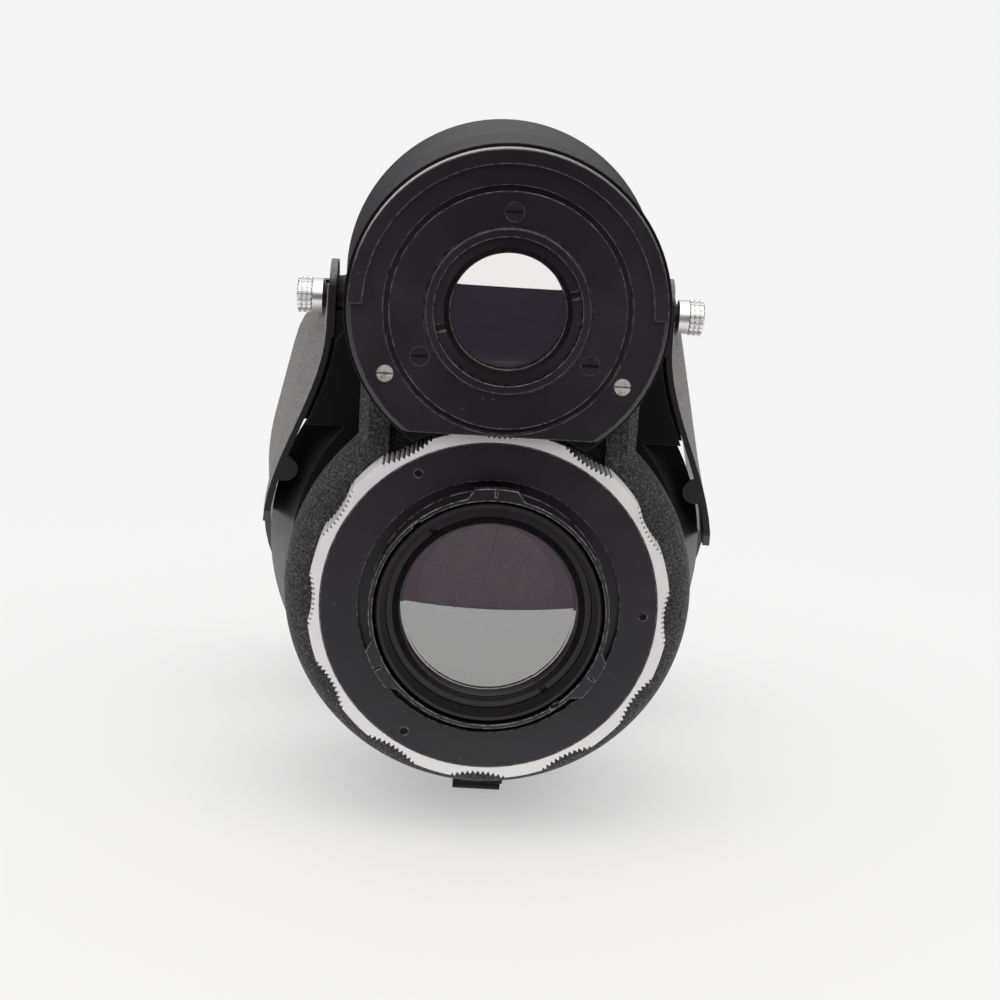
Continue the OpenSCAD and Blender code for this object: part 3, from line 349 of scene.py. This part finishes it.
# Taking cells, mount flange and hub. Turned and anodised like the viewing side, about the lower axis.
# The three lugs of the hub slide behind the camera's throat, so their edges are rubbed bright.
dress(anodised("mount anodised", TAKING_AXIS, wear=1.0), "lock_flange", "bayonet_hub")
dress(anodised("taking cells anodised", TAKING_AXIS, wear=0.12), "taking_rear_ring", "taking_front_cell",
      "taking_front_ring")
dress(OIL_BLACK, "taking_rear_cell")


# Glare ridges. Fine grooves turned into both rear retaining rings, so that they throw no light
# back into the camera; they show as fine grey lines, and painted shade darkens the grooves between them.
RIDGE_PITCH = 0.36 * MM
RIDGE_HEIGHT = 0.22 * MM


def glare_ridges(ring, count, inner, axis_height):
    """Saw-toothed ridges that stand on the back face of a retaining ring."""
    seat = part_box(ring)[0].y
    outline = [(inner, seat + RIDGE_HEIGHT)]
    for i in range(count):
        outline += [(inner + i * RIDGE_PITCH, seat), (inner + (i + 0.5) * RIDGE_PITCH, seat - RIDGE_HEIGHT)]
    outer = inner + count * RIDGE_PITCH
    outline += [(outer, seat), (outer, seat + RIDGE_HEIGHT), outline[0]]
    piece = turn_on_lathe(ring.replace("ring", "ridges"), outline, axis_height, 20)
    piece.data.materials.append(OIL_BLACK)
    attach(piece, "frame")


glare_ridges("viewing_rear_ring", count=3, inner=11.3 * MM, axis_height=VIEWING_AXIS)
glare_ridges("taking_rear_ring", count=4, inner=17.8 * MM, axis_height=TAKING_AXIS)


# Lock ring. Turned brass with milled finger scallops, plated in satin chrome.
# Painted shade darkens the gaps between the teeth.
TOOTH_SHADE_REACH = 1.1 * MM


def satin_chrome(name, shade_in_recesses, dullness):
    """Satin plating; where asked, painted shade darkens its corners and the gaps between its teeth."""
    mat, shader, coords = start_finish(name, Metallic=1.0)
    cloud = noise(mat, coords, 220.0, 4.0)
    spots = remap(mat, noise(mat, coords, 1500.0, 3.0), 0.62, 0.80, 0.0, 0.15)
    broken, _ = soft_edges(mat, 0.15 * MM)
    colour = blend_colours(mat, spots, (0.95, 0.955, 0.95, 1), (0.55, 0.53, 0.50, 1))
    # Painted shade in the corners and between the teeth.
    if shade_in_recesses:
        colour = blend_colours(mat, recess_shade_mask(mat, TOOTH_SHADE_REACH), colour, (0.02, 0.018, 0.015, 1))
    satin = remap(mat, cloud, 0.3, 0.7, 0.8 * dullness, 1.1 * dullness)
    feed(mat, shader, Base_Color=colour, Normal=broken, Roughness=satin)
    return mat


dress(satin_chrome("lock ring chrome", shade_in_recesses=True, dullness=0.72), "lock_ring")


# Shutter and iris. Five thin blackened steel blades close the light path and five set the opening.
# They swing on pins in the case, driven by the ring that lies between them.
def blade_steel():
    mat, shader, coords = start_finish("blackened blade steel", Metallic=1.0)
    rubbed = noise(mat, coords, 350.0, 4.0)
    colour = blend_colours(mat, rubbed, (0.045, 0.040, 0.043, 1), (0.10, 0.088, 0.092, 1))
    feed(mat, shader, Base_Color=colour, Roughness=remap(mat, rubbed, 0.3, 0.7, 0.25, 0.40))
    return mat


dress(blade_steel(), *[f"{kind}_blade_{i}" for kind in ("shutter", "iris") for i in range(1, 6)])
ENAMEL = satin_enamel("satin black enamel", low=0.012, high=0.020)
dress(ENAMEL, "shutter_case", "shutter_face")
dress(STEEL, "blade_ring")


# Light gates. Two thin washers of blackened steel, one behind the blades and one in front of them.
# Each is pressed into its bore, and gives the light path a round hole.
GATE_RADIUS = 12.9 * MM
GATE_THICKNESS = 0.6 * MM
GATE_LIP = 0.2 * MM


def light_gate(name, start, outer):
    """A flat washer with a rounded inner lip, pressed into its bore."""
    end = start + GATE_THICKNESS
    outline = [(outer, start), (GATE_RADIUS + GATE_LIP, start), (GATE_RADIUS, start + GATE_LIP),
               (GATE_RADIUS, end - GATE_LIP), (GATE_RADIUS + GATE_LIP, end), (outer, end), (outer, start)]
    piece = turn_on_lathe(name, outline, TAKING_AXIS, 20)
    piece.data.materials.append(OIL_BLACK)
    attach(piece, "frame")


REAR_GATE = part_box("taking_rear_cell")[1].y - 1.4 * MM
FRONT_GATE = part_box("iris_blade_5")[1].y + 1.8 * MM
light_gate("rear_light_gate", start=REAR_GATE, outer=17.2 * MM)
light_gate("front_light_gate", start=FRONT_GATE, outer=20.3 * MM)


# Setting rings and levers. The speed ring and the aperture ring turn under a chromed plate,
# which carries the numbers; the levers cock and release the shutter.
PLATE_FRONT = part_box("ring_plate")[1].y
NUMBER_HEIGHT = 2.2 * MM
NUMBER_RADIUS = 31.7 * MM
INK_THICKNESS = 0.03 * MM
FACING_FRONT = Euler((math.radians(90), 0, math.radians(180))).to_matrix().to_4x4()


def engraving_ink(name, colour):
    mat, shader, coords = start_finish(name, Metallic=0.0, IOR=1.5)
    grain = noise(mat, coords, 2500.0, 2.0)
    faded = tuple(0.6 * part for part in colour[:3]) + (1,)
    feed(mat, shader, Base_Color=blend_colours(mat, grain, faded, colour),
         Roughness=remap(mat, grain, 0.3, 0.7, 0.4, 0.6))
    return mat


def number_scale(name, numbers, first_angle, step, ink):
    """Numbers round the taking axis, read from the front, each with its head outward."""
    bpy.ops.object.select_all(action="DESELECT")
    made = []
    for i, number in enumerate(numbers):
        angle = math.radians(first_angle + i * step)
        bpy.ops.object.text_add()
        text = bpy.context.active_object
        text.data.body = number
        text.data.size = NUMBER_HEIGHT
        text.data.align_x = "CENTER"
        text.data.align_y = "CENTER"
        text.data.extrude = INK_THICKNESS
        bpy.ops.object.convert(target="MESH")
        place = (NUMBER_RADIUS * math.cos(angle), PLATE_FRONT, NUMBER_RADIUS * math.sin(angle))
        upright = Matrix.Rotation(math.pi / 2 - angle, 4, "Z")
        text.matrix_world = Matrix.Translation(place) @ FACING_FRONT @ upright
        bpy.ops.object.transform_apply(location=True, rotation=True, scale=True)
        made.append(text)
        text.select_set(False)
    for text in made:
        text.select_set(True)
    bpy.context.view_layer.objects.active = made[0]
    bpy.ops.object.join()
    scale = bpy.context.active_object
    scale.name = name
    bpy.ops.object.mode_set(mode="EDIT")
    bpy.ops.mesh.select_all(action="SELECT")
    bpy.ops.mesh.remove_doubles(threshold=0.001 * MM)
    bpy.ops.object.mode_set(mode="OBJECT")
    scale.data.materials.clear()
    scale.data.materials.append(ink)
    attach(scale, "frame")
    bpy.ops.object.select_all(action="DESELECT")


BLACK_INK = engraving_ink("black engraving ink", (0.012, 0.012, 0.012, 1))
dress(satin_chrome("clean satin chrome", shade_in_recesses=False, dullness=0.32), "ring_plate", "cocking_lever",
      "release_lever", "sync_socket")
dress(STEEL, "speed_ring")
dress(ENAMEL, "aperture_ring")
APERTURES = ("2.8", "4", "5.6", "8", "11", "16", "22", "32")
SPEEDS = ("500", "250", "100", "50", "25", "10", "5", "2", "1")
number_scale("aperture_numbers", APERTURES, first_angle=60, step=50 / 7, ink=BLACK_INK)
number_scale("speed_numbers", SPEEDS, first_angle=158, step=28, ink=BLACK_INK)


# Speed mark. A red painted steel pip, riveted to the rim of the speed ring.
# It turns with the ring and points at the speed that is set.
MARK_SIZE = (1.2 * MM, 4.0 * MM, 1.0 * MM)
MARK_ROUND = 0.25 * MM
MARK_ANGLE = math.radians(270)
RIM_RADIUS = (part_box("speed_ring")[1].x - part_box("speed_ring")[0].x) / 2
RIM_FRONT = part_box("speed_ring")[1].y


def rounded_block(name, size, place, rounding, mat):
    """A block with all its edges rounded."""
    bpy.ops.mesh.primitive_cube_add(size=1.0, location=place)
    block = bpy.context.active_object
    block.name = name
    block.scale = size
    bpy.ops.object.transform_apply(location=True, rotation=True, scale=True)
    bpy.ops.object.mode_set(mode="EDIT")
    bpy.ops.mesh.select_all(action="SELECT")
    bpy.ops.mesh.bevel(offset=rounding, segments=3, affect="EDGES")
    bpy.ops.object.mode_set(mode="OBJECT")
    bpy.ops.object.shade_smooth_by_angle(angle=math.radians(40))
    bpy.ops.object.select_all(action="DESELECT")
    block.data.materials.append(mat)
    return block


RED_PAINT = engraving_ink("red mark paint", (0.45, 0.02, 0.015, 1))
mark_place = (0, RIM_FRONT - MARK_SIZE[1] / 2, RIM_RADIUS * math.sin(MARK_ANGLE))
mark = rounded_block("speed_mark", MARK_SIZE, mark_place, MARK_ROUND, RED_PAINT)
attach(mark, "speed")


# Filter threads. A fine thread is cut on the lathe inside the mouth of each front cell.
# Filters and caps screw into it; it is black like the rest of the cell.
THREAD_PITCH = 0.75 * MM
THREAD_DEPTH = 0.4 * MM
THREAD_ROOT = 0.05 * MM
THREAD_INSET = 0.6 * MM


def filter_thread(name, mouth, bore, length, axis_height):
    """Sharp crests in a bore, over a length that ends just inside its mouth."""
    start = mouth - length
    turns = int((length - THREAD_INSET) / THREAD_PITCH)
    crest, root = bore - THREAD_DEPTH, bore - THREAD_ROOT
    last = start + turns * THREAD_PITCH
    outline = [(bore + THREAD_ROOT, start)]
    for i in range(turns):
        outline += [(root, start + i * THREAD_PITCH), (crest, start + (i + 0.5) * THREAD_PITCH)]
    outline += [(root, last), (bore + THREAD_ROOT, last), outline[0]]
    piece = turn_on_lathe(name, outline, axis_height, 40)
    piece.data.materials.append(ENAMEL)
    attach(piece, "frame")


TAKING_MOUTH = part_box("taking_front_cell")[1].y
VIEWING_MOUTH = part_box("viewing_front_cell")[1].y
filter_thread("taking_filter_thread", TAKING_MOUTH, bore=26.0 * MM, length=6.4 * MM, axis_height=TAKING_AXIS)
filter_thread("viewing_filter_thread", VIEWING_MOUTH, bore=20.5 * MM, length=4.0 * MM,
              axis_height=VIEWING_AXIS)


# Lens shade. Rolled from sheet, with two cheeks that reach back to the thumb screws.
# Its outside is worn crinkle, grey partly in its own tone and partly as painted sheen of grazing light; its
# inside and edges are smooth and black.
def shade_paint():
    mat, shader, coords = start_finish("shade paint", Metallic=0.0, IOR=1.5)
    ridge = crinkle(mat, coords, 1700.0)
    flat = node(mat, "VectorMath", {"operation": "MULTIPLY"}, _0=coords, _1=(1, 0, 1))["Vector"]
    outward = node(mat, "VectorMath", {"operation": "NORMALIZE"}, _0=flat)["Vector"]
    face = node(mat, "TexCoord")["Normal"]
    lean = node(mat, "VectorMath", {"operation": "DOT_PRODUCT"}, _0=outward, _1=face)["Value"]
    outside = remap(mat, lean, 0.25, 0.45, 0.0, 1.0)
    # Painted sheen and shade: the grey stands partly for grazing light, and ridges are lighter than furrows.
    grey = blend_colours(mat, ridge, (0.15, 0.15, 0.15, 1), (0.38, 0.378, 0.375, 1))
    colour = blend_colours(mat, outside, (0.013, 0.013, 0.014, 1), grey)
    height = multiply(mat, ridge, outside)
    bump = node(mat, "Bump", None, Strength=0.9, Distance=0.18 * MM, Height=height)["Normal"]
    feed(mat, shader, Base_Color=colour, Normal=bump, Roughness=remap(mat, outside, 0.0, 1.0, 0.38, 0.55))
    return mat


dress(shade_paint(), "lens_shade")


# Thumb screws and bushes. Two chromed brass screws hold the shade's ears, knurled in three rows of beads.
# Small black bushes keep them off the sheet.
BEADS = 22
BEAD_ROWS = 3
BEAD_PITCH = 1.05 * MM
BEAD_MARGIN = 0.24 * MM
BEAD_HEIGHT = 0.5 * MM
COLLAR_LENGTH = 2.2 * MM
KNURL_LENGTH = 3.3 * MM
KNURL_GAP = 0.05 * MM
COLLAR_STEP = 0.3 * MM
CORE_STEP = 0.2 * MM
SCREW_SHANK = 1.5 * MM
END_ROUND = 0.4 * MM
SCREW_CHROME = satin_chrome("thumb screw chrome", shade_in_recesses=False, dullness=0.34)


def set_across(piece, sign, centre):
    """Swings a piece that was made along the lens axis to one side, onto the thumb screw axis."""
    bpy.context.view_layer.objects.active = piece
    piece.select_set(True)
    bpy.ops.object.mode_set(mode="EDIT")
    bpy.ops.mesh.select_all(action="SELECT")
    bpy.ops.transform.rotate(value=sign * math.pi / 2, orient_axis="Z", center_override=(0, 0, 0))
    bpy.ops.transform.translate(value=(0, centre.y, centre.z))
    bpy.ops.object.mode_set(mode="OBJECT")
    bpy.ops.object.select_all(action="DESELECT")


def bead_knurl(name, radius, start):
    """Rows of raised beads round a knob."""
    outline = [(radius, start + row * BEAD_PITCH) for row in range(BEAD_ROWS + 1)]
    knurl = spin_outline(name, outline, TAKING_AXIS, BEADS)
    bpy.ops.mesh.inset(thickness=BEAD_MARGIN, depth=BEAD_HEIGHT, use_individual=True, use_boundary=True)
    bpy.ops.object.mode_set(mode="OBJECT")
    bpy.ops.object.select_all(action="DESELECT")
    return knurl


for side, sign in (("left", -1), ("right", 1)):
    low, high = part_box(side + "_thumb_screw")
    centre = (low + high) / 2
    inner, outer = sorted((abs(low.x), abs(high.x)))
    knob = (high.z - low.z) / 2
    collar = knob - COLLAR_STEP
    knurl_root = knob - BEAD_HEIGHT
    core = knurl_root - CORE_STEP
    knurl_start = outer - KNURL_LENGTH
    knob_start = knurl_start - COLLAR_LENGTH
    outline = [(0, inner), (SCREW_SHANK, inner), (SCREW_SHANK, knob_start), (collar, knob_start)]
    outline += [(collar, knurl_start), (core, knurl_start), (core, outer - END_ROUND)]
    outline += [(knurl_root - END_ROUND, outer), (0, outer)]
    screw = turn_on_lathe(side + "_thumb_knob", outline, TAKING_AXIS, 30)
    knurl = bead_knurl(side + "_thumb_knurl", knurl_root, knurl_start + KNURL_GAP)
    for piece in (screw, knurl):
        set_across(piece, sign, centre)
        piece.data.materials.append(SCREW_CHROME)
        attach(piece, side + "_thumb")
    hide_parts(side + "_thumb_screw")
dress(ENAMEL, "thumb_bushes")


# Ear pads. A block of black felt under each ear of the shade, glued to the barrel.
# It closes the gap there and keeps the shade from rattling.
PAD_SIZE = (4.4 * MM, 10.5 * MM, 7.0 * MM)
PAD_ROUND = 0.5 * MM
THUMB_AXIS = (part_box("left_thumb_screw")[0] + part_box("left_thumb_screw")[1]) / 2
PAD_DROP = 6.0 * MM
PAD_REACH = 32.9 * MM


def black_felt():
    mat, shader, coords = start_finish("black felt", Metallic=0.0, IOR=1.3, Roughness=1.0, Sheen_Weight=0.1)
    fibres = noise(mat, coords, 2600.0, 4.0)
    bump = node(mat, "Bump", None, Strength=0.6, Distance=0.15 * MM, Height=fibres)["Normal"]
    colour = blend_colours(mat, fibres, (0.004, 0.004, 0.004, 1), (0.014, 0.014, 0.014, 1))
    feed(mat, shader, Base_Color=colour, Normal=bump)
    return mat


FELT = black_felt()
for side, sign in (("left", -1), ("right", 1)):
    place = (sign * PAD_REACH, THUMB_AXIS.y, THUMB_AXIS.z - PAD_DROP)
    pad = rounded_block(side + "_ear_pad", PAD_SIZE, place, PAD_ROUND, FELT)
    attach(pad, "frame")


# Foot. A strip of steel sheet, bent to a step and enamelled black.
# It is screwed under the casting, and the unit stands on it.
dress(ENAMEL, "foot")


# Table, light and camera. A white table in a dim room, under a wide soft ceiling light that is
# stronger on the camera's side; the glass shows the table's edges and the room behind them.
TABLE_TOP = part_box("foot")[0].z
TABLE_NEAR, TABLE_FAR, TABLE_SIDE = -0.17, 0.95, 0.9
SHADOW_CORE, SHADOW_END, SHADOW_GLOW = 0.06, 0.30, 0.45
WHITE = (0.913, 0.913, 0.913, 1)
bpy.ops.mesh.primitive_plane_add(size=1.0, location=(0, (TABLE_NEAR + TABLE_FAR) / 2, TABLE_TOP))
table = bpy.context.active_object
table.name = "table"
table.scale = (2 * TABLE_SIDE, TABLE_FAR - TABLE_NEAR, 1)
bpy.ops.object.transform_apply(location=True, rotation=False, scale=True)
PAPER = (0.89, 0.89, 0.89, 1)
paper, paper_shader, paper_coords = start_finish("white table", Base_Color=PAPER, Roughness=0.8)
reach = node(paper, "VectorMath", {"operation": "LENGTH"}, _0=paper_coords)["Value"]
path = node(paper, "LightPath")
seen = node(paper, "Math", {"operation": "MAXIMUM"}, _0=path["Is Camera Ray"], _1=path["Is Glossy Ray"])[0]
seen = node(paper, "Math", {"operation": "MAXIMUM"}, _0=seen, _1=path["Is Transmission Ray"])[0]
share = multiply(paper, remap(paper, reach, SHADOW_CORE, SHADOW_END, SHADOW_GLOW, 1.0), seen)
glow = node(paper, "Emission", None, Color=WHITE, Strength=1.0)["Emission"]
mixed = node(paper, "MixShader", None, _0=share, _1=paper_shader.outputs["BSDF"], _2=glow)["Shader"]
paper.node_tree.links.new(mixed, paper.node_tree.nodes["Material Output"].inputs["Surface"])
table.data.materials.append(paper)

studio = bpy.data.worlds.new("studio")
studio.use_nodes = True
bpy.context.scene.world = studio
heading = node(studio, "SeparateXYZ", None, Vector=node(studio, "TexCoord")["Generated"])
ceiling = blend_colours(studio, remap(studio, heading["Y"], 0.4, -0.4, 0.0, 1.0), (0.9, 0.9, 0.9, 1),
                        (1.75, 1.72, 1.68, 1))
walls = blend_colours(studio, remap(studio, heading["Y"], 0.3, -0.3, 0.0, 1.0), (0.022, 0.018, 0.025, 1),
                      (0.155, 0.118, 0.142, 1))
room = blend_colours(studio, remap(studio, heading["Z"], 0.25, 0.55, 0.0, 1.0), walls, ceiling)
room = blend_colours(studio, node(studio, "LightPath")["Is Camera Ray"], room, WHITE)
studio.node_tree.links.new(room, studio.node_tree.nodes["Background"].inputs["Color"])

camera_lens = bpy.data.cameras.new("camera")
camera_lens.lens = 66.6
camera_lens.sensor_width = 36.0
camera_lens.clip_start = 0.01
camera = bpy.data.objects.new("camera", camera_lens)
camera.location = (-0.0125, -0.3544, 0.1075)
camera.rotation_euler = Euler([math.radians(a) for a in (76.48, -3.66, -1.28)])
bpy.context.scene.collection.objects.link(camera)
bpy.context.scene.camera = camera
bpy.context.scene.view_settings.view_transform = "Standard"
